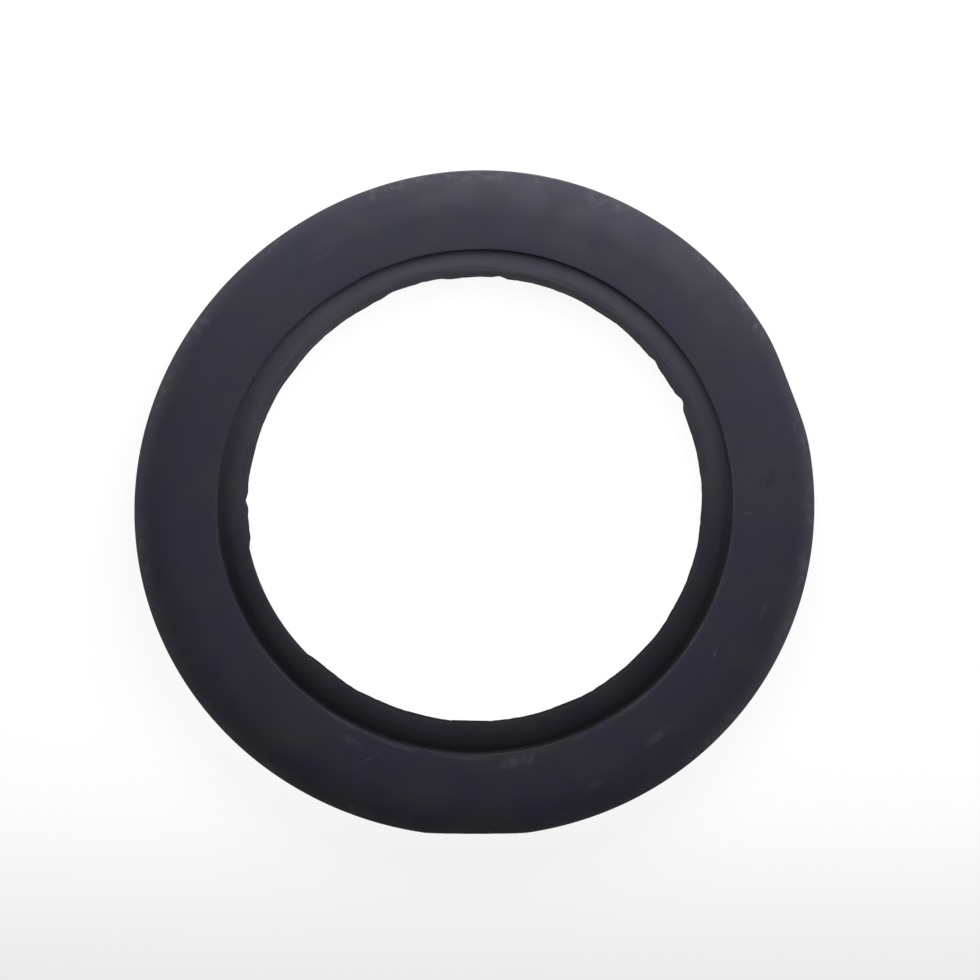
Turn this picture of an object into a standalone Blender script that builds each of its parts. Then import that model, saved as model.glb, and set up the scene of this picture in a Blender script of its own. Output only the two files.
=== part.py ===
"""Flush valve seal: one moulded rubber ring that lies on its flat back, with its face up.

The section is turned about Z. From the bore outwards it has a ridge of flash, a low bead with a
groove behind it, a recess wall with a small lip, a gentle shoulder, a narrow flat land and a dome
that falls away to the rim.
The turned ring is then given the small faults of the real one: it is a little out of round,
soft at one place of its rim, flat where it has stood, and its flash is torn and trimmed.
"""

import math

import bmesh
import bpy

# Widths across the section, from the bore outwards, in metres
BORE_RADIUS = 0.0300
FLASH_HEIGHT = 0.0003
ROLL_WIDTH = 0.0018
BEAD_WIDTH = 0.0018
GROOVE_RADIUS = 0.0002
LIP_RADIUS = 0.0002
SHOULDER_WIDTH = 0.0030
LAND_WIDTH = 0.0018
DOME_WIDTH = 0.0059

# Depths of the section, in metres
THICKNESS = 0.0100
DOME_DROP = 0.0027
SHOULDER_DROP = 0.00015
RECESS_DEPTH = 0.0015
BEAD_RISE = 0.0003
ROLL_DROP = 0.0015
FLASH_THICKNESS = 0.0008
BACK_EDGE_RADIUS = 0.0012

# Mould draft of the two walls, which both narrow the ring towards its back
RIM_DRAFT_DEG = 6.0
BORE_DRAFT_DEG = 9.0

# Faults in the outline: how far the radius departs at the rim, and where it is largest.
# The core that left the bore and the recess sat off the middle, towards +Y.
OVAL = 0.00034
OVAL_DEG = 18.0
TREFOIL = 0.00021
TREFOIL_DEG = 76.0
CORE_OFFSET = 0.0007
DENT_DEPTH = 0.00035
DENT_DEG = 21.0
DENT_HALF_DEG = 11.0
STANDING_FLAT_DEPTH = 0.0005

# Faults in the flash: trimmed stretches (from, to, depth) and nicks (middle, half width, depth)
FLASH_TRIMS = ((191.0, 223.0, 0.00050), (98.0, 113.0, 0.00025))
FLASH_NICKS = ((26.0, 2.5, 0.00050), (38.0, 2.0, 0.00020), (84.0, 2.0, 0.00030), (180.0, 2.0, 0.00030))
TRIM_EDGE_DEG = 3.0
TRIM_REACH = 0.0012
RAGGED = 0.00006

# Facets
RING_STEPS = 180
DOME_STEPS = 6
SHOULDER_STEPS = 2
LIP_STEPS = 2
GROOVE_STEPS = 2
BEAD_STEPS = 3
ROLL_STEPS = 4
BACK_EDGE_STEPS = 2

RUBBER_COLOUR = (0.030, 0.028, 0.035, 1.0)
RUBBER_ROUGHNESS = 0.62

# Radii and heights that follow from the sizes above
ROLL_START = BORE_RADIUS + FLASH_HEIGHT
CREST_RADIUS = ROLL_START + ROLL_WIDTH
GROOVE_START = CREST_RADIUS + BEAD_WIDTH
RECESS_RADIUS = GROOVE_START + GROOVE_RADIUS
LIP_END = RECESS_RADIUS + LIP_RADIUS
LAND_START = LIP_END + SHOULDER_WIDTH
DOME_START = LAND_START + LAND_WIDTH
RIM_RADIUS = DOME_START + DOME_WIDTH
RIM_HEIGHT = THICKNESS - DOME_DROP
LIP_HEIGHT = THICKNESS - SHOULDER_DROP - LIP_RADIUS
GROOVE_FLOOR = THICKNESS - RECESS_DEPTH
CREST_HEIGHT = GROOVE_FLOOR + BEAD_RISE
FLASH_TOP = CREST_HEIGHT - ROLL_DROP
FLASH_MIDDLE = FLASH_TOP - FLASH_THICKNESS / 2
FLASH_BOTTOM = FLASH_TOP - FLASH_THICKNESS


def clear_scene():
    """Removes whatever the file opened with."""
    for thing in list(bpy.data.objects):
        bpy.data.objects.remove(thing, do_unlink=True)


def arc(centre, semi_axes, start_deg, end_deg, steps):
    """Points (radius, height) along an elliptical arc, both ends included."""
    points = []
    for step in range(steps + 1):
        turn = math.radians(start_deg + (end_deg - start_deg) * step / steps)
        radius = centre[0] + semi_axes[0] * math.cos(turn)
        height = centre[1] + semi_axes[1] * math.sin(turn)
        points.append((radius, height))
    return points


def slope(crest, run, drop, steps):
    """Points down a shallow curve that leaves its crest level and falls by drop over run."""
    shares = [step / steps for step in range(1, steps + 1)]
    return [(crest[0] + run * share, crest[1] - drop * share**2) for share in shares]


def front_points():
    """Over the face: lip, shoulder, land and dome, from the recess wall out to the rim."""
    lip = arc((LIP_END, LIP_HEIGHT), (LIP_RADIUS, LIP_RADIUS), 180, 90, LIP_STEPS)
    shoulder = slope((LAND_START, THICKNESS), -SHOULDER_WIDTH, SHOULDER_DROP, SHOULDER_STEPS)
    up_shoulder = shoulder[-2::-1] + [(LAND_START, THICKNESS)]
    dome = arc((DOME_START, RIM_HEIGHT), (DOME_WIDTH, DOME_DROP), 90, 0, DOME_STEPS)
    return lip + up_shoulder + dome


def back_points():
    """Down the rim, across the flat back and up to the flash in the bore."""
    edge = BACK_EDGE_RADIUS
    rim_back = RIM_RADIUS - (RIM_HEIGHT - edge) * math.tan(math.radians(RIM_DRAFT_DEG))
    bore_back = ROLL_START + (FLASH_BOTTOM - edge) * math.tan(math.radians(BORE_DRAFT_DEG))
    outer_edge = arc((rim_back - edge, edge), (edge, edge), 0, -90, BACK_EDGE_STEPS)
    inner_edge = arc((bore_back + edge, edge), (edge, edge), -90, -180, BACK_EDGE_STEPS)
    return outer_edge + inner_edge


def bore_points():
    """Up the inside: the ridge of flash, the roll, the bead and the groove under the recess wall."""
    flash = [(ROLL_START, FLASH_BOTTOM), (BORE_RADIUS, FLASH_MIDDLE)]
    roll = arc((CREST_RADIUS, FLASH_TOP), (ROLL_WIDTH, ROLL_DROP), 180, 90, ROLL_STEPS)
    bead = slope((CREST_RADIUS, CREST_HEIGHT), BEAD_WIDTH, BEAD_RISE, BEAD_STEPS)
    corner = (GROOVE_START, GROOVE_FLOOR + GROOVE_RADIUS)
    groove = arc(corner, (GROOVE_RADIUS, GROOVE_RADIUS), -90, 0, GROOVE_STEPS)
    return flash + roll + bead + groove[1:]


def turned_ring():
    """The closed section at +X, turned about Z by a Screw modifier and made a plain mesh."""
    section = front_points() + back_points() + bore_points()
    count = len(section)
    outline = bpy.data.meshes.new("section")
    outline.from_pydata(
        [(radius, 0.0, height) for radius, height in section],
        [(index, (index + 1) % count) for index in range(count)],
        [],
    )
    turning = bpy.data.objects.new("section", outline)
    bpy.context.scene.collection.objects.link(turning)
    screw = turning.modifiers.new("turn", "SCREW")
    screw.axis = "Z"
    screw.angle = math.tau
    screw.steps = RING_STEPS
    screw.render_steps = RING_STEPS
    screw.use_merge_vertices = True
    screw.merge_threshold = 1e-6
    bpy.context.view_layer.update()
    graph = bpy.context.evaluated_depsgraph_get()
    mesh = bpy.data.meshes.new_from_object(turning.evaluated_get(graph))
    bpy.data.objects.remove(turning, do_unlink=True)
    bpy.data.meshes.remove(outline)
    return mesh


def apart(angle_deg, middle_deg):
    """Degrees between two directions, the short way round."""
    return abs((angle_deg - middle_deg + 180.0) % 360.0 - 180.0)


def swell(angle_deg, middle_deg, half_deg):
    """1 in the middle of a stretch, easing to 0 at both its ends."""
    away = min(apart(angle_deg, middle_deg) / half_deg, 1.0)
    return 0.5 + 0.5 * math.cos(math.pi * away)


def share_between(value, low, high):
    """How far a value has come from low to high, kept between 0 and 1."""
    return min(max((value - low) / (high - low), 0.0), 1.0)


def torn_depth(angle_deg):
    """How much of the flash is gone in one direction."""
    depth = 0.0
    for start, end, trimmed in FLASH_TRIMS:
        middle = (start + end) / 2
        inside = (end - start) / 2 - apart(angle_deg, middle)
        depth = max(depth, trimmed * share_between(inside, -TRIM_EDGE_DEG / 2, TRIM_EDGE_DEG / 2))
    for middle, half, nicked in FLASH_NICKS:
        depth = max(depth, nicked * max(0.0, 1.0 - apart(angle_deg, middle) / half))
    turn = math.radians(angle_deg)
    return depth + RAGGED * (math.sin(17 * turn) + math.sin(29 * turn + 1.0)) / 2


def faulty_place(radius, height, turn):
    """Where a point of the turned section lies, seen from above, once the ring's faults are in it."""
    angle_deg = math.degrees(turn) % 360.0
    bend = OVAL * math.cos(2 * (turn - math.radians(OVAL_DEG)))
    bend += TREFOIL * math.cos(3 * (turn - math.radians(TREFOIL_DEG)))
    faulty = radius + bend * radius / RIM_RADIUS
    on_dome = share_between(radius, DOME_START, RIM_RADIUS)
    faulty -= DENT_DEPTH * on_dome * swell(angle_deg, DENT_DEG, DENT_HALF_DEG)
    if radius < CREST_RADIUS:
        near_flash = 1.0 - share_between(abs(height - FLASH_MIDDLE), 0.0, TRIM_REACH)
        faulty += torn_depth(angle_deg) * near_flash
    core = CORE_OFFSET * (1.0 - share_between(radius, RECESS_RADIUS, RIM_RADIUS))
    return faulty * math.cos(turn), faulty * math.sin(turn) + core


def give_faults(mesh):
    """Moves the points of the turned ring to their faulty places and flattens where it stood."""
    shape = bmesh.new()
    shape.from_mesh(mesh)
    for point in shape.verts:
        radius = math.hypot(point.co.x, point.co.y)
        turn = math.atan2(point.co.y, point.co.x)
        point.co.x, point.co.y = faulty_place(radius, point.co.z, turn)
    floor = min(point.co.y for point in shape.verts) + STANDING_FLAT_DEPTH
    for point in shape.verts:
        point.co.y = max(point.co.y, floor)
    across = [point.co.x for point in shape.verts]
    along = [point.co.y for point in shape.verts]
    middle = ((min(across) + max(across)) / 2, (min(along) + max(along)) / 2, 0.0)
    bmesh.ops.translate(shape, verts=shape.verts, vec=[-part for part in middle])
    shape.to_mesh(mesh)
    shape.free()


def rubber():
    """Matte black moulded rubber with a faint violet cast."""
    material = bpy.data.materials.new("black_rubber")
    material.use_nodes = True
    shader = material.node_tree.nodes["Principled BSDF"]
    shader.inputs["Base Color"].default_value = RUBBER_COLOUR
    shader.inputs["Roughness"].default_value = RUBBER_ROUGHNESS
    shader.inputs["Metallic"].default_value = 0.0
    return material


def make_seal():
    """The one piece of the seal, in the collection named for it."""
    mesh = turned_ring()
    give_faults(mesh)
    mesh.name = "seal_ring"
    mesh.materials.clear()
    mesh.materials.append(rubber())
    mesh.shade_smooth()
    mesh.set_sharp_from_angle(angle=math.radians(35))
    ring = bpy.data.objects.new("seal_ring", mesh)
    seal = bpy.data.collections.new("flush_valve_seal")
    bpy.context.scene.collection.children.link(seal)
    seal.objects.link(ring)


clear_scene()
make_seal()
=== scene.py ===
# %% [markdown]
# # A flush valve seal in moulded black rubber
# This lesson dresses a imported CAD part. The part is a rubber ring, about 90 mm across, that seals the
# foot of a cistern's flush valve. It lies on its flat back, with its domed face up. The CAD ring is true
# in shape but plain. The lesson turns the same section again with many more points, gives it the faults
# of a real moulding, and then makes the rubber, the floor, the light and the camera.

import math

import bmesh
import bpy
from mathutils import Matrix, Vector, noise


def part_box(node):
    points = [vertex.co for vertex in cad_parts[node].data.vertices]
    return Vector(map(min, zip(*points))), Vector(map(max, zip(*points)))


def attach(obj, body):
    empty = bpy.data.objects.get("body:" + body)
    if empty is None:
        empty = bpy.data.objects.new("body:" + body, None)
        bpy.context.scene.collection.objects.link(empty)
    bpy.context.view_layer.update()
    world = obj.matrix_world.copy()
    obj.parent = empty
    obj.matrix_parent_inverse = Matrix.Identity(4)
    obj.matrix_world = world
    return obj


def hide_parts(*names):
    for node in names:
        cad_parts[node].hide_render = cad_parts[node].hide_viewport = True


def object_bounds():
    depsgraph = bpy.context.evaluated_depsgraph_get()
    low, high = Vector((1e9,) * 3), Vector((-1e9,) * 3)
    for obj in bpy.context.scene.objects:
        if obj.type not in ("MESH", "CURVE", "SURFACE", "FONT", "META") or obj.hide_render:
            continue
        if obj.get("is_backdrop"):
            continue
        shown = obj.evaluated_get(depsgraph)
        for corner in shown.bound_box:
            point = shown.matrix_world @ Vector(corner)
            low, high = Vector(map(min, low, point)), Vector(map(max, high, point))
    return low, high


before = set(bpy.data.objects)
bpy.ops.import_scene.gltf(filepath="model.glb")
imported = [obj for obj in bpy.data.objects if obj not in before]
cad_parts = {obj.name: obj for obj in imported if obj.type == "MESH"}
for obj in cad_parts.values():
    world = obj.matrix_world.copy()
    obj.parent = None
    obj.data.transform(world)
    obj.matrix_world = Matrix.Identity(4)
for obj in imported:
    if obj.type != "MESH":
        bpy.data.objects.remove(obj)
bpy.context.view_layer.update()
node_low, node_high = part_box("seal_ring")

# %% [markdown]
# ## The section
# A moulded ring is one section carried round an axis, so its section is the thing to draw well. From the
# bore outwards this one has a thin ridge of flash, a low bead that rolls into the bore, a groove behind
# it, a low wall with a small lip, a gentle shoulder, a narrow flat land and a dome that falls away to the
# rim. Below, two tapered walls run down to a flat back. It could be drawn as a Bezier curve, but arcs
# with named sizes keep it true to the CAD: each size below is the CAD's own, and only the number of steps
# differs.

# %% Sizes of the section, in metres
MM = 0.001
BORE_RADIUS = 30.0 * MM
FLASH_HEIGHT = 0.3 * MM
ROLL_WIDTH = 1.8 * MM
BEAD_WIDTH = 1.8 * MM
GROOVE_RADIUS = 0.2 * MM
LIP_RADIUS = 0.2 * MM
SHOULDER_WIDTH = 3.0 * MM
LAND_WIDTH = 1.8 * MM
DOME_WIDTH = 5.9 * MM

THICKNESS = 10.0 * MM
DOME_DROP = 2.7 * MM
SHOULDER_DROP = 0.15 * MM
RECESS_DEPTH = 1.5 * MM
BEAD_RISE = 0.3 * MM
ROLL_DROP = 1.5 * MM
FLASH_THICKNESS = 0.8 * MM
BACK_EDGE_RADIUS = 1.2 * MM
RIM_DRAFT_DEG = 6.0
BORE_DRAFT_DEG = 9.0

ROLL_START = BORE_RADIUS + FLASH_HEIGHT
CREST_RADIUS = ROLL_START + ROLL_WIDTH
GROOVE_START = CREST_RADIUS + BEAD_WIDTH
RECESS_RADIUS = GROOVE_START + GROOVE_RADIUS
LIP_END = RECESS_RADIUS + LIP_RADIUS
LAND_START = LIP_END + SHOULDER_WIDTH
DOME_START = LAND_START + LAND_WIDTH
RIM_RADIUS = DOME_START + DOME_WIDTH
RIM_HEIGHT = THICKNESS - DOME_DROP
LIP_HEIGHT = THICKNESS - SHOULDER_DROP - LIP_RADIUS
GROOVE_FLOOR = THICKNESS - RECESS_DEPTH
CREST_HEIGHT = GROOVE_FLOOR + BEAD_RISE
FLASH_TOP = CREST_HEIGHT - ROLL_DROP
FLASH_MIDDLE = FLASH_TOP - FLASH_THICKNESS / 2
FLASH_BOTTOM = FLASH_TOP - FLASH_THICKNESS
print("outside", round(RIM_RADIUS * 2000, 1), "mm, bore", round(BORE_RADIUS * 2000, 1), "mm")

# %% Draw the section
FINEST_STEP = 0.35 * MM
LIP_STEPS, SHOULDER_STEPS, DOME_STEPS = 5, 8, 24
BACK_EDGE_STEPS, ROLL_STEPS, BEAD_STEPS, GROOVE_STEPS = 6, 12, 7, 5


def arc(centre, semi_axes, start_deg, end_deg, steps):
    """Points (radius, height) along an elliptical arc, both ends included."""
    points = []
    for step in range(steps + 1):
        turn = math.radians(start_deg + (end_deg - start_deg) * step / steps)
        radius = centre[0] + semi_axes[0] * math.cos(turn)
        height = centre[1] + semi_axes[1] * math.sin(turn)
        points.append((radius, height))
    return points


def slope(crest, run, drop, steps):
    """Points down a shallow curve that leaves its crest level and falls by drop over run."""
    shares = [step / steps for step in range(1, steps + 1)]
    return [(crest[0] + run * share, crest[1] - drop * share**2) for share in shares]


def face_corners():
    """Over the face: lip, shoulder, land and dome, from the recess wall out to the rim."""
    lip = arc((LIP_END, LIP_HEIGHT), (LIP_RADIUS, LIP_RADIUS), 180, 90, LIP_STEPS)
    shoulder = slope((LAND_START, THICKNESS), -SHOULDER_WIDTH, SHOULDER_DROP, SHOULDER_STEPS)
    dome = arc((DOME_START, RIM_HEIGHT), (DOME_WIDTH, DOME_DROP), 90, 0, DOME_STEPS)
    return lip + shoulder[-2::-1] + [(LAND_START, THICKNESS)] + dome


def back_corners():
    """Down the rim, across the flat back and up to the flash in the bore."""
    edge = BACK_EDGE_RADIUS
    rim_back = RIM_RADIUS - (RIM_HEIGHT - edge) * math.tan(math.radians(RIM_DRAFT_DEG))
    bore_back = ROLL_START + (FLASH_BOTTOM - edge) * math.tan(math.radians(BORE_DRAFT_DEG))
    outer_edge = arc((rim_back - edge, edge), (edge, edge), 0, -90, BACK_EDGE_STEPS)
    inner_edge = arc((bore_back + edge, edge), (edge, edge), -90, -180, BACK_EDGE_STEPS)
    return outer_edge + inner_edge


def recess_corners():
    """Up the inside: the ridge of flash, the roll, the bead and the groove under the recess wall."""
    flash = [(ROLL_START, FLASH_BOTTOM), (BORE_RADIUS, FLASH_MIDDLE)]
    roll = arc((CREST_RADIUS, FLASH_TOP), (ROLL_WIDTH, ROLL_DROP), 180, 90, ROLL_STEPS)
    bead = slope((CREST_RADIUS, CREST_HEIGHT), BEAD_WIDTH, BEAD_RISE, BEAD_STEPS)
    corner = (GROOVE_START, GROOVE_FLOOR + GROOVE_RADIUS)
    groove = arc(corner, (GROOVE_RADIUS, GROOVE_RADIUS), -90, 0, GROOVE_STEPS)
    return flash + roll + bead + groove[1:]


def filled_in(corners, longest):
    """The same outline, with points added so that no straight stretch is longer than asked."""
    points = []
    for start, end in zip(corners, corners[1:] + corners[:1]):
        pieces = max(1, math.ceil(math.dist(start, end) / longest))
        for piece in range(pieces):
            share = piece / pieces
            points.append(tuple(a + (b - a) * share for a, b in zip(start, end)))
    return points


section = filled_in(face_corners() + back_corners() + recess_corners(), FINEST_STEP)
print("points in the section:", len(section))

# %% [markdown]
# ## Turn it
# The Screw modifier carries an outline round an axis, as a lathe tool or a mould does. A full turn with
# its ends merged gives one closed skin. It is applied at once, because the faults that follow move single
# points.

# %% Turn the section about Z
RING_STEPS = 576
MERGE_DISTANCE = 1e-6


def turned(points, steps):
    """The outline at +X turned about Z by a Screw modifier and made a plain mesh."""
    outline = bpy.data.meshes.new("section")
    places = [(radius, 0.0, height) for radius, height in points]
    edges = [(index, (index + 1) % len(points)) for index in range(len(points))]
    outline.from_pydata(places, edges, [])
    turning = bpy.data.objects.new("section", outline)
    bpy.context.scene.collection.objects.link(turning)
    screw = turning.modifiers.new("turn", "SCREW")
    screw.axis = "Z"
    screw.angle = math.tau
    screw.steps = steps
    screw.render_steps = steps
    screw.use_merge_vertices = True
    screw.merge_threshold = MERGE_DISTANCE
    bpy.context.view_layer.update()
    graph = bpy.context.evaluated_depsgraph_get()
    mesh = bpy.data.meshes.new_from_object(turning.evaluated_get(graph))
    bpy.data.objects.remove(turning, do_unlink=True)
    bpy.data.meshes.remove(outline)
    return mesh


ring_mesh = turned(section, RING_STEPS)
print("turned ring:", len(ring_mesh.vertices), "points,", len(ring_mesh.polygons), "faces")

# %% [markdown]
# ## The faults of a moulding
# No soft ring is truly round. This one is slightly oval and three-lobed, soft at one place of its rim,
# and flat where it has stood on edge. Its core sat a little off the middle. Round the bore the flash was
# torn and trimmed by hand, so the edge has steps and nicks. Sculpting could make such faults, but
# formulas in the radius and the angle give the same faults as the CAD's, and small noise can then be laid
# on top of them.

# %% Faults that the CAD has too
OVAL, OVAL_DEG = 0.34 * MM, 18.0
TREFOIL, TREFOIL_DEG = 0.21 * MM, 76.0
CORE_OFFSET = 0.7 * MM
DENT_DEPTH, DENT_DEG, DENT_HALF_DEG = 0.35 * MM, 21.0, 11.0
STANDING_FLAT_DEPTH = 0.5 * MM
FLASH_TRIMS = ((191.0, 223.0, 0.50 * MM), (98.0, 113.0, 0.25 * MM))
FLASH_NICKS = (
    (26.0, 2.5, 0.50 * MM),
    (38.0, 2.0, 0.20 * MM),
    (84.0, 2.0, 0.30 * MM),
    (180.0, 2.0, 0.30 * MM),
)
TRIM_EDGE_DEG = 3.0
TRIM_REACH = 1.2 * MM
RAGGED = 0.06 * MM


def apart(angle_deg, middle_deg):
    """Degrees between two directions, the short way round."""
    return abs((angle_deg - middle_deg + 180.0) % 360.0 - 180.0)


def share_between(value, low, high):
    """How far a value has come from low to high, kept between 0 and 1."""
    return min(max((value - low) / (high - low), 0.0), 1.0)


def torn_depth(angle_deg):
    """How much of the flash is gone in one direction."""
    depth = 0.0
    for start, end, trimmed in FLASH_TRIMS:
        inside = (end - start) / 2 - apart(angle_deg, (start + end) / 2)
        depth = max(depth, trimmed * share_between(inside, -TRIM_EDGE_DEG / 2, TRIM_EDGE_DEG / 2))
    for middle, half, nicked in FLASH_NICKS:
        depth = max(depth, nicked * max(0.0, 1.0 - apart(angle_deg, middle) / half))
    turn = math.radians(angle_deg)
    return depth + RAGGED * (math.sin(17 * turn) + math.sin(29 * turn + 1.0)) / 2


def faulty_place(radius, height, turn):
    """Where a point of the turned section lies, seen from above, once the ring's faults are in it."""
    angle_deg = math.degrees(turn) % 360.0
    bend = OVAL * math.cos(2 * (turn - math.radians(OVAL_DEG)))
    bend += TREFOIL * math.cos(3 * (turn - math.radians(TREFOIL_DEG)))
    faulty = radius + bend * radius / RIM_RADIUS
    on_dome = share_between(radius, DOME_START, RIM_RADIUS)
    near_dent = min(apart(angle_deg, DENT_DEG) / DENT_HALF_DEG, 1.0)
    faulty -= DENT_DEPTH * on_dome * (0.5 + 0.5 * math.cos(math.pi * near_dent))
    if radius < CREST_RADIUS:
        near_flash = 1.0 - share_between(abs(height - FLASH_MIDDLE), 0.0, TRIM_REACH)
        faulty += torn_depth(angle_deg) * near_flash
    core = CORE_OFFSET * (1.0 - share_between(radius, RECESS_RADIUS, RIM_RADIUS))
    return faulty * math.cos(turn), faulty * math.sin(turn) + core


print("flash trimmed off at 205 degrees:", round(torn_depth(205.0) / MM, 2), "mm")


# %% Finer faults, laid on top
TEAR_LENGTH = 0.9 * MM
TEAR_DEPTH = 0.10 * MM
UNEVEN_LENGTH = 9.0 * MM
UNEVEN_DEPTH = 0.035 * MM
LIP_WAVE_LENGTH = 4.0 * MM
LIP_WAVE_DEPTH = 0.06 * MM
NOISE_SEED = Vector((3.1, 7.7, 1.9))


def fine_tear(x, y):
    """Small ragged bites in the thin edge of the flash."""
    return TEAR_DEPTH * max(0.0, noise.noise(Vector((x, y, 0.0)) / TEAR_LENGTH + NOISE_SEED))


def lip_wave(x, y):
    """The slight wander of the recess wall, where the mould was not cut quite true."""
    return LIP_WAVE_DEPTH * noise.noise(Vector((x, y, 0.0)) / LIP_WAVE_LENGTH + NOISE_SEED)


def uneven(x, y, z):
    """The slow rise and fall of a rubber surface that cooled unevenly."""
    return UNEVEN_DEPTH * (noise.noise(Vector((x, y, z)) / UNEVEN_LENGTH + NOISE_SEED) - 1.0) / 2


def roughened(x, y, z, radius):
    """One point moved by the fine faults: the flash and the wall sideways, the face down."""
    if abs(z - FLASH_MIDDLE) < FLASH_THICKNESS / 2 and radius < ROLL_START:
        outwards = 1.0 + fine_tear(x, y) / radius
        x, y = x * outwards, y * outwards
    if GROOVE_START < radius < LIP_END:
        outwards = 1.0 + lip_wave(x, y) / radius
        x, y = x * outwards, y * outwards
    if z > RIM_HEIGHT:
        z += uneven(x, y, z)
    return x, y, z


print("fine tears up to", round(TEAR_DEPTH / MM, 2), "mm deep")


# %% Give the ring its faults
SHARP_DEG = 50.0


def give_faults(mesh):
    """Moves the points to their faulty places, flattens where it stood and centres it on the CAD box."""
    shape = bmesh.new()
    shape.from_mesh(mesh)
    radii = []
    for point in shape.verts:
        radii.append(math.hypot(point.co.x, point.co.y))
        turn = math.atan2(point.co.y, point.co.x)
        point.co.x, point.co.y = faulty_place(radii[-1], point.co.z, turn)
    floor = min(point.co.y for point in shape.verts) + STANDING_FLAT_DEPTH
    for point in shape.verts:
        point.co.y = max(point.co.y, floor)
    across = [point.co.x for point in shape.verts]
    along = [point.co.y for point in shape.verts]
    middle = ((min(across) + max(across)) / 2, (min(along) + max(along)) / 2)
    for point, radius in zip(shape.verts, radii):
        place = roughened(point.co.x - middle[0], point.co.y - middle[1], point.co.z, radius)
        kept = [min(max(part, low), high) for part, low, high in zip(place, node_low, node_high)]
        point.co = kept
    shape.to_mesh(mesh)
    shape.free()


give_faults(ring_mesh)
ring_mesh.name = "rubber_ring"
ring_mesh.shade_smooth()
ring_mesh.set_sharp_from_angle(angle=math.radians(SHARP_DEG))
ring = bpy.data.objects.new("rubber_ring", ring_mesh)
bpy.context.scene.collection.objects.link(ring)
print("ring in mm:", [round(side * 1000, 2) for side in ring.dimensions])

# %% [markdown]
# ## The rubber
# Seals like this are compression moulded in black EPDM or natural rubber. Carbon black colours it right
# through. The mould is only lightly polished, so the skin is matte and takes light softly, with a lift
# where it turns away from the eye. Wax and dust give it a faint cool bloom, in cloudy patches. Handling
# leaves pale scuffs, most of all on the rim, and the roll at the bore is grey and streaky where flash was
# pulled off it. Light and shade are painted into the colour too: a sheen on the rim, a paler recess towards
# the top of the picture, a highlight on the lip towards its foot, and shade that darkens the recess and
# groove towards the foot. One shader carries all of this: noise and masks in the ring's own coordinates
# drive colour, roughness and bump. An image texture could do it too, but noise has real sizes and no seams.

# %% Colours and a node helper
def linear(hex_colour):
    """An sRGB hex colour as the linear RGBA that Blender's shaders read."""
    channels = []
    for start in (1, 3, 5):
        value = int(hex_colour[start:start + 2], 16) / 255
        channels.append(value / 12.92 if value <= 0.04045 else ((value + 0.055) / 1.055) ** 2.4)
    return (*channels, 1.0)


def per_mm(size_mm):
    """The scale at which a pattern in metres has features of this many millimetres."""
    return 1000.0 / size_mm


def add_node(tree, kind, settings, inputs, output=0):
    """Adds a node, sets its properties, fills its inputs with values or sockets, and gives one output."""
    node = tree.nodes.new(kind)
    for name, value in settings.items():
        setattr(node, name, value)
    for name, value in inputs.items():
        if isinstance(value, bpy.types.NodeSocket):
            tree.links.new(value, node.inputs[name])
        else:
            node.inputs[name].default_value = value
    return node.outputs[output]


SMOOTH = {"interpolation_type": "SMOOTHSTEP"}
PRODUCT = {"operation": "MULTIPLY", "use_clamp": True}
LARGER = {"operation": "MAXIMUM", "use_clamp": True}
LAID_OVER = {"data_type": "RGBA"}
print("mid grey #808080 is linear", round(linear("#808080")[0], 3))

# %% The rubber's material, and its own coordinates
# Rubber has an IOR of about 1.52; the lower value gives the weaker sheen of a skin with wax and dust on
# it. A roughness of about two thirds is usual for moulded rubber: matte, but not chalky.
RUBBER_ROUGHNESS = 0.66
RUBBER_IOR = 1.42
BORE_MIDDLE = (0.0002, 0.0003, 0.0)
FLAT = (1.0, 1.0, 0.0)

rubber = bpy.data.materials.new("moulded_black_rubber")
rubber.use_nodes = True
skin = rubber.node_tree
shader = skin.nodes["Principled BSDF"]
shader.inputs["Metallic"].default_value = 0.0
shader.inputs["IOR"].default_value = RUBBER_IOR
place = add_node(skin, "ShaderNodeTexCoord", {}, {}, "Object")
height = add_node(skin, "ShaderNodeSeparateXYZ", {}, {0: place}, "Z")
up_picture = add_node(skin, "ShaderNodeSeparateXYZ", {}, {0: place}, "Y")
from_bore = add_node(skin, "ShaderNodeVectorMath", {"operation": "SUBTRACT"}, {0: place, 1: BORE_MIDDLE})
flat_place = add_node(skin, "ShaderNodeVectorMath", {"operation": "MULTIPLY"}, {0: from_bore, 1: FLAT})
radius = add_node(skin, "ShaderNodeVectorMath", {"operation": "LENGTH"}, {0: flat_place}, "Value")
print("coordinates from the middle of the bore:", BORE_MIDDLE)
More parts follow.
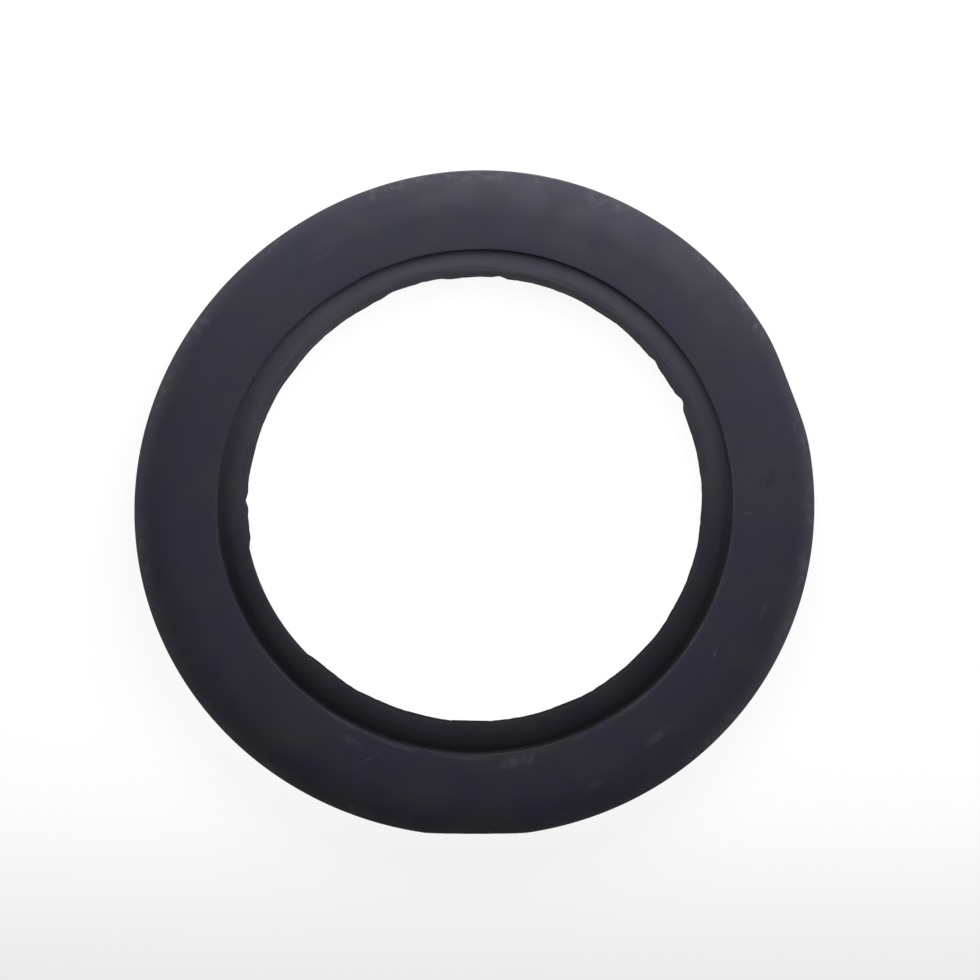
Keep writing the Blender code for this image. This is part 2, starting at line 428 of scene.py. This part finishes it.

# %% [markdown]
# ## Where each finish shows
# The finish of the real ring changes from place to place: grey on the roll, scuffed on the edge of the dome.
# Painted light and shade change too: the recess is painted paler towards the top of the picture and darker
# towards its foot, darkest in the groove. Painted points or several materials could mark these places. Here
# each place is a mask worked out from the height, the distance to the middle of the bore and the side of the
# picture, because such a mask follows the sizes of the section and stays smooth on any mesh.

# %% Masks from radius, height and side
# A Map Range node eases from one share to another while a value goes between two bounds. Its inputs
# are the value, the two bounds and the share at each.
MASKS = (
    ("below_face", height, LIP_HEIGHT, LIP_HEIGHT + LIP_RADIUS, 1.0, 0.0),
    ("inside_wall", radius, 35.5 * MM, 36.5 * MM, 1.0, 0.0),
    ("near_groove", radius, 31.2 * MM, 33.4 * MM, 0.0, 1.0),
    ("near_bore", radius, 31.4 * MM, 32.6 * MM, 1.0, 0.0),
    ("low_on_dome", height, 8.3 * MM, 9.5 * MM, 1.0, 0.0),
    ("outside_land", radius, 38.0 * MM, 40.0 * MM, 0.0, 1.0),
    ("past_wall", radius, 34.0 * MM, 34.3 * MM, 0.0, 1.0),
    ("inside_lip", radius, 34.3 * MM, 34.7 * MM, 1.0, 0.0),
    ("top_of_lip", height, LIP_HEIGHT, THICKNESS, 0.0, 0.7),
    # The three masks by side of the picture place the painted sheen, light, highlight and shade below.
    ("upper_side", up_picture, -24.0 * MM, 26.0 * MM, 0.0, 1.0),
    ("lower_side", up_picture, -24.0 * MM, 26.0 * MM, 1.0, 0.0),
    ("off_foot", up_picture, -42.0 * MM, -26.0 * MM, 0.0, 1.0),
    ("high_on_rim", height, 5.0 * MM, 7.5 * MM, 0.15, 0.7),
)
OVERLAPS = (
    ("in_recess", "below_face", "inside_wall"),
    ("groove_shade", "in_recess", "near_groove"),
    ("on_roll", "in_recess", "near_bore"),
    ("on_rim", "low_on_dome", "outside_land"),
    ("on_lip", "past_wall", "inside_lip"),
    ("lower_recess", "in_recess", "lower_side"),
)

mask = {}
for name, source, low, high, start, end in MASKS:
    bounds = {0: source, 1: low, 2: high, 3: start, 4: end}
    mask[name] = add_node(skin, "ShaderNodeMapRange", SMOOTH, bounds)
for name, first, second in OVERLAPS:
    mask[name] = add_node(skin, "ShaderNodeMath", PRODUCT, {0: mask[first], 1: mask[second]})
print("masks:", ", ".join(mask))


# %% [markdown]
# ## Clouds and streaks
# Bloom and wear come in soft patches a few millimetres wide, and flash that is pulled off leaves streaks
# along the ring. Noise makes both: patches from the ring's plain coordinates, and streaks from
# coordinates that run slowly round the ring and fast across it. A scanned image would hold real marks,
# but it would repeat and need unwrapping. The flecks of a real scuff are finer than a pixel of this
# render, so they are drawn 1 mm wide, with finer detail on top.

# %% Clouds of a real size
def cloud(tree, coordinates, size_mm, detail, low, high):
    """Noise with features of a real size, cut to a mask between two levels."""
    pattern = {"Vector": coordinates, "Scale": per_mm(size_mm), "Detail": detail}
    noise_value = add_node(tree, "ShaderNodeTexNoise", {}, pattern)
    return add_node(tree, "ShaderNodeMapRange", SMOOTH, {0: noise_value, 1: low, 2: high, 3: 0.0, 4: 1.0})


# Size in mm, detail, and the two noise levels between which the mask rises
bloom = cloud(skin, place, 9.0, 5.0, 0.36, 0.66)
worn = cloud(skin, place, 1.4, 3.0, 0.25, 0.65)
crumbs = cloud(skin, place, 1.0, 4.0, 0.40, 0.78)
crumb_patches = cloud(skin, place, 7.0, 1.0, 0.42, 0.60)
lip_patches = cloud(skin, place, 5.0, 3.0, 0.30, 0.70)
gloss_patches = cloud(skin, place, 6.0, 2.0, 0.35, 0.65)
print("clouds made")

# %% Streaks that follow the ring
STREAK_LENGTH_MM = 9.0
STREAK_WIDTH_MM = 0.45
ROUND_SHARE = CREST_RADIUS / (STREAK_LENGTH_MM * MM)

heading = add_node(skin, "ShaderNodeVectorMath", {"operation": "NORMALIZE"}, {0: flat_place})
round_place = add_node(
    skin, "ShaderNodeVectorMath", {"operation": "SCALE"}, {0: heading, "Scale": ROUND_SHARE}
)
across = add_node(skin, "ShaderNodeMath", {"operation": "MULTIPLY"}, {0: radius, 1: per_mm(STREAK_WIDTH_MM)})
across_place = add_node(skin, "ShaderNodeCombineXYZ", {}, {"Z": across})
streak_place = add_node(skin, "ShaderNodeVectorMath", {"operation": "ADD"}, {0: round_place, 1: across_place})
streak_noise = add_node(
    skin, "ShaderNodeTexNoise", {}, {"Vector": streak_place, "Scale": 1.0, "Detail": 2.0}
)
streaks = add_node(skin, "ShaderNodeMapRange", SMOOTH, {0: streak_noise, 1: 0.44, 2: 0.66, 3: 0.0, 4: 1.0})
print("streaks", STREAK_LENGTH_MM, "mm long and", STREAK_WIDTH_MM, "mm wide")

# %% [markdown]
# ## Single rubs
# Handling has left a few clear rubs and scratches on the face. They could be painted by hand. Here each
# one is a soft oval with a place, a direction, a size and a strength, because ten short rows are easy to
# read and to change. A Mapping node set to Texture moves, turns and scales the coordinates so that each
# oval becomes a circle of radius 1.

# %% Single rubs and scratches
# Each mark: middle x and y in mm, direction in degrees, half length and half width in mm, strength.
MARKS = (
    (5.4, -34.4, 20.0, 3.0, 1.1, 0.50),
    (7.6, -34.0, 62.0, 1.3, 0.35, 0.45),
    (-13.8, -33.9, 30.0, 3.4, 0.20, 0.50),
    (-16.2, -31.8, -35.0, 2.4, 0.9, 0.30),
    (32.0, -19.8, 80.0, 1.1, 0.22, 0.60),
    (36.2, -1.0, 5.0, 1.1, 0.30, 0.40),
    (24.5, -31.0, 40.0, 3.0, 0.8, 0.35),
    (16.5, -37.5, 25.0, 2.6, 0.6, 0.30),
    (38.5, -14.0, 72.0, 2.4, 0.5, 0.25),
    (-20.0, 33.5, 30.0, 2.2, 0.5, 0.25),
)
OILY_MARK = (39.3, 3.3, 80.0, 2.2, 0.9, 0.6)


def mark(tree, coordinates, middle_x, middle_y, turn_deg, half_length, half_width, strength):
    """A soft oval mark, strongest in its middle."""
    oval = {
        "Vector": coordinates,
        "Location": (middle_x * MM, middle_y * MM, 0.0),
        "Rotation": (0.0, 0.0, math.radians(turn_deg)),
        "Scale": (half_length * MM, half_width * MM, 1.0),
    }
    local = add_node(tree, "ShaderNodeMapping", {"vector_type": "TEXTURE"}, oval)
    away = add_node(tree, "ShaderNodeVectorMath", {"operation": "LENGTH"}, {0: local}, "Value")
    return add_node(tree, "ShaderNodeMapRange", SMOOTH, {0: away, 1: 0.2, 2: 1.0, 3: strength, 4: 0.0})


rubs = 0.0
for values in MARKS:
    rubs = add_node(skin, "ShaderNodeMath", LARGER, {0: rubs, 1: mark(skin, place, *values)})
rubs = add_node(skin, "ShaderNodeMath", PRODUCT, {0: rubs, 1: worn})
oily_smudge = add_node(skin, "ShaderNodeMath", PRODUCT, {0: mark(skin, place, *OILY_MARK), 1: worn})
print("single marks:", len(MARKS), "and one dark smudge")

# %% Scuffs on the edge of the dome, and a painted highlight on the lip
rim_scuffs = add_node(skin, "ShaderNodeMath", PRODUCT, {0: crumbs, 1: crumb_patches})
for name in ("on_rim", "high_on_rim"):
    rim_scuffs = add_node(skin, "ShaderNodeMath", PRODUCT, {0: rim_scuffs, 1: mask[name]})
# Pale patches on the lip, towards the foot of the picture only, are a painted highlight along its edge.
painted_lip_highlight = lip_patches
for name in ("on_lip", "top_of_lip", "lower_side"):
    painted_lip_highlight = add_node(skin, "ShaderNodeMath", PRODUCT, {0: painted_lip_highlight, 1: mask[name]})
print("scuffs and wear made")

# %% [markdown]
# ## Colour
# Under its marks the rubber is one violet black. The finishes, and the painted light and shade, are laid
# over it one after another, each by its own share between 0 and 1: the bloom first and the painted shade of
# the groove last. A colour ramp could hold the same colours, but a ramp has one input, and these finishes
# overlap.

# %% Where each colour shows
BLOOM_SHARE = 0.8
RIM_SHEEN_SHARE = 0.5
PULLED_AND_LIT_SHARE = 0.6
RECESS_SHADE_SHARE = 0.75

bloom_share = add_node(skin, "ShaderNodeMath", PRODUCT, {0: bloom, 1: BLOOM_SHARE})
# The rim of the dome is painted paler everywhere but at the foot of the picture: a painted sheen where the
# edge turns away from the eye.
rim_sheen_share = add_node(skin, "ShaderNodeMath", PRODUCT, {0: mask["on_rim"], 1: mask["off_foot"]})
rim_sheen_share = add_node(skin, "ShaderNodeMath", PRODUCT, {0: rim_sheen_share, 1: RIM_SHEEN_SHARE})
streakiness = add_node(
    skin, "ShaderNodeMapRange", SMOOTH, {0: streaks, 1: 0.0, 2: 1.0, 3: PULLED_AND_LIT_SHARE, 4: 1.0}
)
streaky_roll = add_node(skin, "ShaderNodeMath", PRODUCT, {0: mask["on_roll"], 1: streakiness})
# The recess is painted paler towards the top of the picture, more along the streaks of the roll: painted
# light reaching into the recess, laid over the grey of pulled flash.
flash_streaks_and_painted_light = add_node(skin, "ShaderNodeMath", PRODUCT, {0: mask["in_recess"], 1: PULLED_AND_LIT_SHARE})
flash_streaks_and_painted_light = add_node(skin, "ShaderNodeMath", LARGER, {0: flash_streaks_and_painted_light, 1: streaky_roll})
flash_streaks_and_painted_light = add_node(skin, "ShaderNodeMath", PRODUCT, {0: flash_streaks_and_painted_light, 1: mask["upper_side"]})
# The pale scuff colour holds real rim scuffs and rubs, and also the painted highlight on the lip.
scuffs_and_lip_highlight_share = add_node(skin, "ShaderNodeMath", LARGER, {0: rim_scuffs, 1: painted_lip_highlight})
scuffs_and_lip_highlight_share = add_node(skin, "ShaderNodeMath", LARGER, {0: rubs, 1: scuffs_and_lip_highlight_share})
# The recess, most of all the groove, is painted near black towards the foot of the picture: painted shade.
# The oily smudge laid in with it is a real dark mark.
shade_and_smudge_share = add_node(skin, "ShaderNodeMath", PRODUCT, {0: mask["in_recess"], 1: RECESS_SHADE_SHARE})
shade_and_smudge_share = add_node(skin, "ShaderNodeMath", LARGER, {0: mask["groove_shade"], 1: shade_and_smudge_share})
shade_and_smudge_share = add_node(skin, "ShaderNodeMath", PRODUCT, {0: shade_and_smudge_share, 1: mask["lower_side"]})
shade_and_smudge_share = add_node(skin, "ShaderNodeMath", LARGER, {0: shade_and_smudge_share, 1: oily_smudge})
print("shares of the colours made")

# %% Colours of the rubber
# Violet black, clouded with a neutral grey bloom. The scuffs are paler, and so is the painted highlight on
# the lip. The rim and the upper recess are painted paler as sheen and light, and the lower recess and
# groove are painted near black as shade.
VIOLET_BLACK = "#2a283a"
LAYERS = (
    ("grey bloom", "#302f35", bloom_share),
    ("painted rim sheen", "#45434e", rim_sheen_share),
    ("pulled flash and painted light", "#45434c", flash_streaks_and_painted_light),
    ("scuffs", "#55535b", scuffs_and_lip_highlight_share),
    ("painted groove shade and smudge", "#14131a", shade_and_smudge_share),
)

colour = linear(VIOLET_BLACK)
for name, hex_colour, share in LAYERS:
    colours = {0: share, 6: colour, 7: linear(hex_colour)}
    colour = add_node(skin, "ShaderNodeMix", LAID_OVER, colours, 2)
    print("laid over:", name, hex_colour)
skin.links.new(colour, shader.inputs["Base Color"])

# %% [markdown]
# ## Gloss and grain
# The skin takes a fine grain from the steel of the mould. The real grain is a few hundredths of a
# millimetre wide, finer than a pixel of this render, so it is drawn 0.45 mm wide to show at all, and kept
# very low. Moved points could carry it, but a bump needs none of them, and grain this low would not show
# in the outline. The scuffs and the streaks on the roll stand a little higher.

# %% Gloss of the rubber
# The skin is even; some patches are a little smoother, and the groove is duller.
ROUGHNESS_RANGE = (RUBBER_ROUGHNESS + 0.04, RUBBER_ROUGHNESS - 0.04)
DULLER = 0.30

patchy = {0: gloss_patches, 1: 0.0, 2: 1.0, 3: ROUGHNESS_RANGE[0], 4: ROUGHNESS_RANGE[1]}
roughness = add_node(skin, "ShaderNodeMapRange", SMOOTH, patchy)
dull_share = add_node(
    skin, "ShaderNodeMath", LARGER, {0: mask["groove_shade"], 1: mask["lower_recess"]}
)
dulled = add_node(
    skin,
    "ShaderNodeMath",
    {"operation": "MULTIPLY_ADD", "use_clamp": True},
    {0: dull_share, 1: DULLER, 2: roughness},
)
skin.links.new(dulled, shader.inputs["Roughness"])
print("roughness", [round(value, 2) for value in ROUGHNESS_RANGE])

# %% Grain of the rubber
GRAIN_MM = 0.45
GRAIN_HEIGHT = 0.006 * MM
CRUMB_HEIGHT = 0.030 * MM

grain = add_node(
    skin, "ShaderNodeTexNoise", {}, {"Vector": place, "Scale": per_mm(GRAIN_MM), "Detail": 2.0}
)
grain_bump = add_node(
    skin, "ShaderNodeBump", {}, {"Height": grain, "Distance": GRAIN_HEIGHT, "Strength": 1.0}
)
roll_streaks = add_node(skin, "ShaderNodeMath", PRODUCT, {0: mask["on_roll"], 1: streaks})
rough_parts = add_node(skin, "ShaderNodeMath", LARGER, {0: rim_scuffs, 1: roll_streaks})
crumb_bump = add_node(
    skin,
    "ShaderNodeBump",
    {},
    {"Height": rough_parts, "Distance": CRUMB_HEIGHT, "Strength": 1.0, "Normal": grain_bump},
)
skin.links.new(crumb_bump, shader.inputs["Normal"])
print("grain", GRAIN_MM, "mm wide and", round(GRAIN_HEIGHT / MM, 4), "mm high")

# %% The ring wears its rubber
ring_mesh.materials.clear()
ring_mesh.materials.append(rubber)
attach(ring, "root")
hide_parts("seal_ring")
print("the ring now wears", ring_mesh.materials[0].name)

# %% [markdown]
# ## The floor
# A plain white table. The camera sees it glow a little, so that it stays white although the light on it
# is soft, and it still takes the faint shadow of the ring. Towards the foot of the picture the glow is
# weaker, a painted shade that turns it pale grey. A curved sheet of paper would do as well. A flat plane is
# enough, because only the camera sees the glow, so none of it falls on the ring.

# %% White table
FLOOR_HEX = "#e8e8ea"
SHADOW_SHARE = 0.18
GLOW = 0.925
FOOT_GLOW = 0.70
GREY_FROM = -0.030
GREY_TO = -0.085
FLOOR_HALF = 3.0
PAINT_ROUGHNESS = 0.9
PAINT_SPECULAR = 0.1

table_white = bpy.data.materials.new("painted_white_table")
table_white.use_nodes = True
paint = table_white.node_tree
seen = add_node(paint, "ShaderNodeLightPath", {}, {}, "Is Camera Ray")
spot = add_node(paint, "ShaderNodeTexCoord", {}, {}, "Object")
along = add_node(paint, "ShaderNodeSeparateXYZ", {}, {0: spot}, "Y")
# The glow eases down towards the foot of the picture: painted shade on the table.
foot_to_middle = {0: along, 1: GREY_TO, 2: GREY_FROM, 3: FOOT_GLOW, 4: GLOW}
glow = add_node(paint, "ShaderNodeMapRange", SMOOTH, foot_to_middle)
glow_seen = add_node(paint, "ShaderNodeMath", {"operation": "MULTIPLY"}, {0: glow, 1: seen})
white = linear(FLOOR_HEX)
faint = tuple(SHADOW_SHARE * part for part in white[:3]) + (1.0,)
paint_colour = add_node(paint, "ShaderNodeMix", LAID_OVER, {0: seen, 6: white, 7: faint}, 2)
paint_shader = paint.nodes["Principled BSDF"]
paint.links.new(paint_colour, paint_shader.inputs["Base Color"])
paint_shader.inputs["Roughness"].default_value = PAINT_ROUGHNESS
paint_shader.inputs["Specular IOR Level"].default_value = PAINT_SPECULAR
paint_shader.inputs["Emission Color"].default_value = (1.0, 1.0, 1.0, 1.0)
paint.links.new(glow_seen, paint_shader.inputs["Emission Strength"])

floor_mesh = bpy.data.meshes.new("table")
corners = [(-1, -1), (1, -1), (1, 1), (-1, 1)]
floor_mesh.from_pydata([(x * FLOOR_HALF, y * FLOOR_HALF, 0.0) for x, y in corners], [], [(0, 1, 2, 3)])
floor_mesh.materials.append(table_white)
table = bpy.data.objects.new("table", floor_mesh)
bpy.context.scene.collection.objects.link(table)
table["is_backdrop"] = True
print("table", FLOOR_HALF * 2, "m wide")

# %% [markdown]
# ## The light
# Black rubber shows its shape by what it reflects. A small soft lamp just beyond the top of the picture
# lights the near end of the ring most, so the ring darkens from the top of the picture to its foot. The
# sky is a white band at the horizon and dark overhead, as in a white tent with a hole for the camera, so
# that surfaces turned away from the camera are lifted and those that face it stay black. A picture of a
# studio could light the ring too, but a few lamps and one band of sky have places and strengths that can
# be read and changed.

# %% Sky
HORIZON = 1.05
BAND_TOP = 0.5

world = bpy.data.worlds.new("white_tent")
bpy.context.scene.world = world
world.use_nodes = True
tent = world.node_tree
direction = add_node(tent, "ShaderNodeTexCoord", {}, {}, "Generated")
rise = add_node(tent, "ShaderNodeSeparateXYZ", {}, {0: direction}, "Z")
band = add_node(tent, "ShaderNodeMapRange", SMOOTH, {0: rise, 1: 0.0, 2: BAND_TOP, 3: HORIZON, 4: 0.0})
viewed = add_node(tent, "ShaderNodeLightPath", {}, {}, "Is Camera Ray")
strength = add_node(tent, "ShaderNodeMix", {"data_type": "FLOAT"}, {0: viewed, 2: band, 3: 1.0})
sky = tent.nodes["Background"]
sky.inputs["Color"].default_value = (1.0, 1.0, 1.0, 1.0)
tent.links.new(strength, sky.inputs["Strength"])
print("sky", HORIZON, "at the horizon")

# %% Lamps
# Name, place in metres, width in metres, power in watts
LAMPS = (
    ("key_softbox", (0.022, 0.105, 0.125), 0.14, 0.275),
    ("right_fill", (0.30, -0.08, 0.09), 0.20, 0.14),
    ("left_fill", (-0.28, 0.13, 0.09), 0.20, 0.11),
)


def softbox(name, spot, width, power):
    """A round soft lamp that faces the middle of the ring."""
    data = bpy.data.lights.new(name, "AREA")
    data.shape = "DISK"
    data.size = width
    data.energy = power
    lamp = bpy.data.objects.new(name, data)
    lamp.location = spot
    lamp.rotation_mode = "QUATERNION"
    lamp.rotation_quaternion = Vector(spot).to_track_quat("Z", "Y")
    bpy.context.scene.collection.objects.link(lamp)
    return lamp


for values in LAMPS:
    print("lamp", softbox(*values).name)

# %% [markdown]
# ## The camera
# The photograph looks almost straight at the ring's face, from a little towards the top of the picture.
# How far away the real camera stood is not known. A long lens from 2 m away keeps the outline nearly as
# flat as an orthographic camera would, with a trace of real perspective.

# %% Camera
SENSOR_MM = 36.0
LENS_MM = 552.5
DISTANCE = 2.0
TILT_DEG = 8.0
TARGET = Vector((0.00208, 0.00202, 0.0093))

tilt = math.radians(TILT_DEG)
camera_data = bpy.data.cameras.new("camera")
camera_data.sensor_width = SENSOR_MM
camera_data.lens = LENS_MM
camera = bpy.data.objects.new("camera", camera_data)
camera.location = TARGET + Vector((0.0, math.sin(tilt), math.cos(tilt))) * DISTANCE
camera.rotation_euler = (-tilt, 0.0, 0.0)
bpy.context.scene.collection.objects.link(camera)
bpy.context.scene.camera = camera
bpy.context.scene.view_settings.view_transform = "Standard"
print("camera", [round(part, 3) for part in camera.location])

# %% Compare the boxes and finish
low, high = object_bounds()
